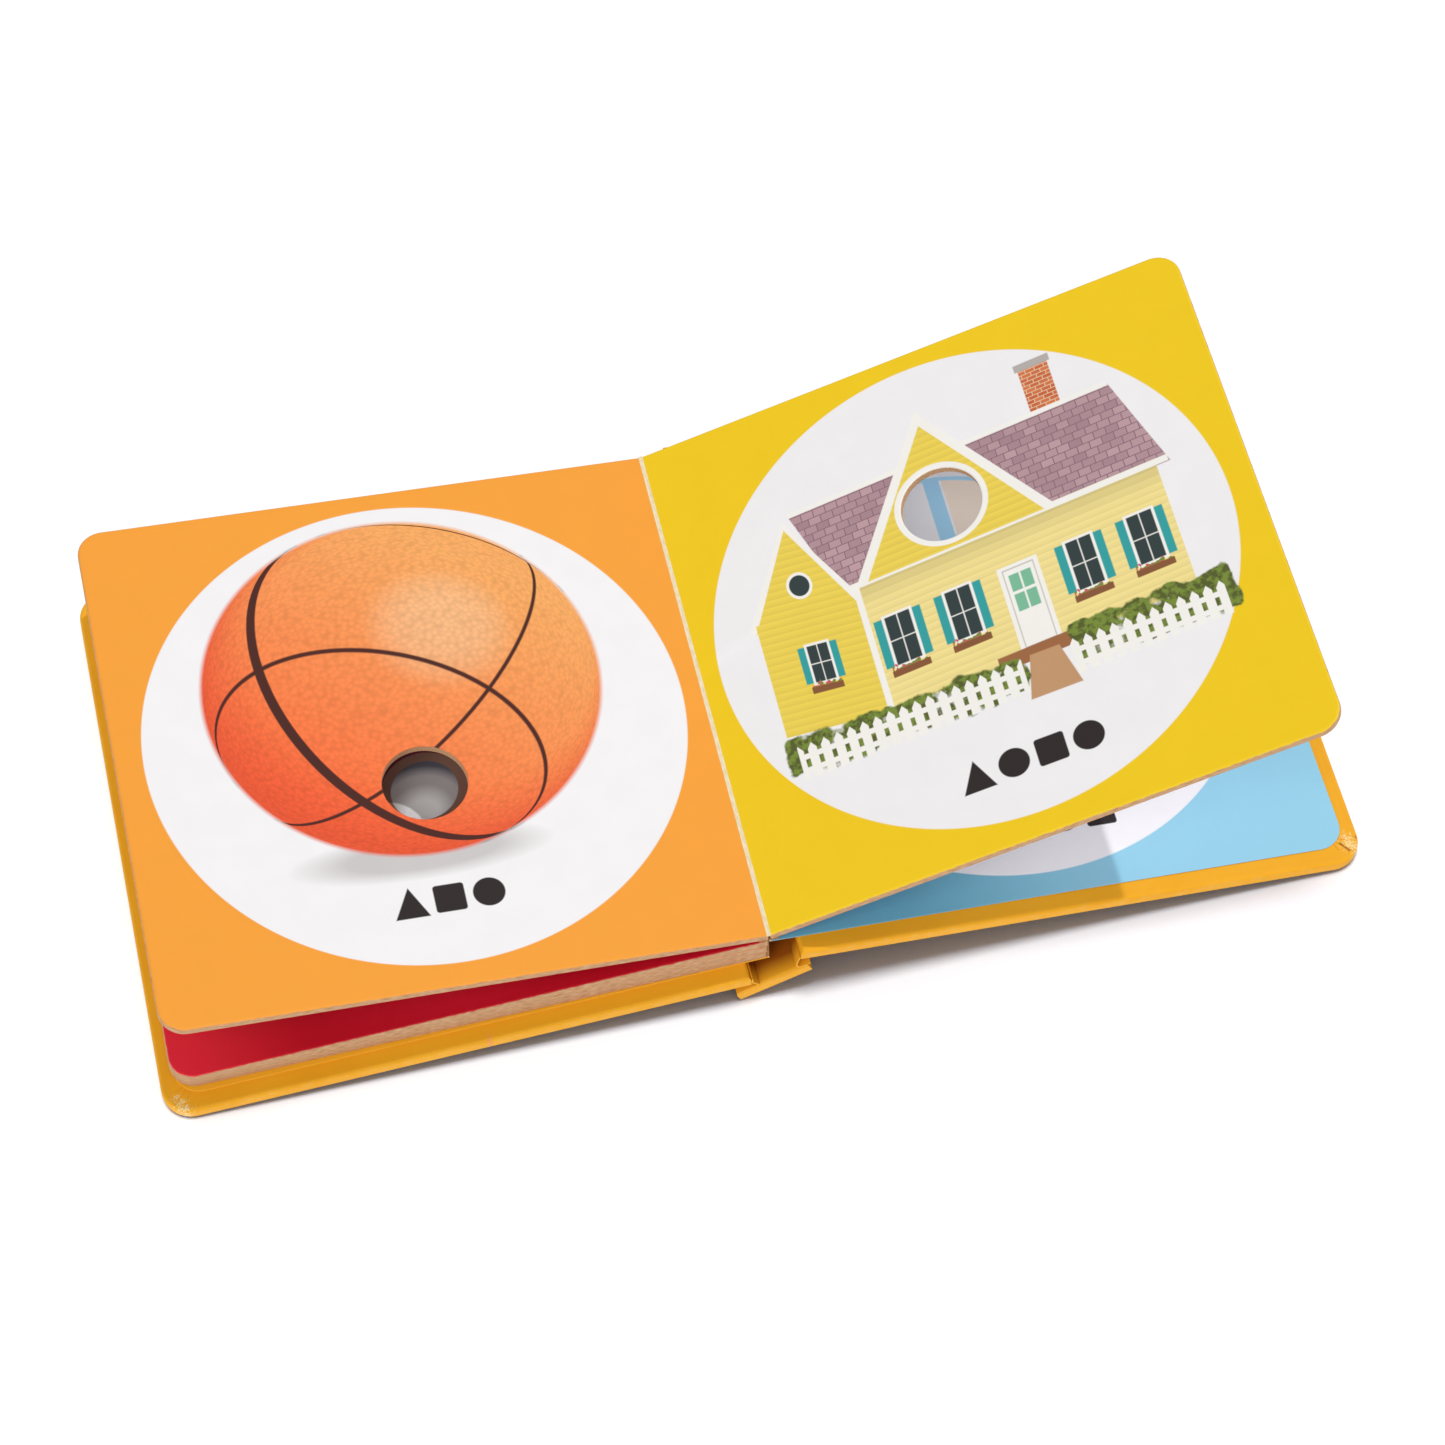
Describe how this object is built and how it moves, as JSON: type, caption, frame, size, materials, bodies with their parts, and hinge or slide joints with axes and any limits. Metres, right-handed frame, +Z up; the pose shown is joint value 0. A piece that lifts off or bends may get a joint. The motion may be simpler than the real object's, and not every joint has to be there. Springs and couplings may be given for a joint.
{
  "type": "board book",
  "caption": "Square board book lying open, with thick die-cut leaves, wrapped cover boards and a loose spine strip.",
  "frame": {"origin": "middle of the footprint on the table that the open book stands on", "axes": "+X across the spread to the right-hand page, +Y along the crease from tail to head, +Z up"},
  "size_m": [0.3138, 0.1614, 0.0673],
  "materials": {
    "greyboard": "matt",
    "cover_paper": "satin",
    "page_board": "satin",
    "groove_lining": "satin"
  },
  "bodies": {
    "back": {"back_board": "greyboard", "back_wrap": "cover_paper", "right_pages": "page_board"},
    "front": {"front_board": "greyboard", "front_wrap": "cover_paper", "left_pages": "page_board", "front_groove": "groove_lining"},
    "spine": {"spine_board": "greyboard", "spine_wrap": "cover_paper", "back_groove": "groove_lining"}
  },
  "joints": [
    {"name": "cover_hinge", "type": "hinge", "parent": "back", "child": "front", "pos_m": [0, 0, 0.0223], "axis": [0, 1, 0], "range_deg": [0, 150]},
    {"name": "spine_swing", "type": "hinge", "parent": "front", "child": "spine", "pos_m": [-0.01, 0, 0.018], "axis": [0, -1, 0], "range_deg": [0, 60.5], "deforming": ["front_groove", "back_groove"]}
  ],
  "couplings": [
    {"joint": "spine_swing", "follows": "cover_hinge", "ratio": 0.4}
  ]
}
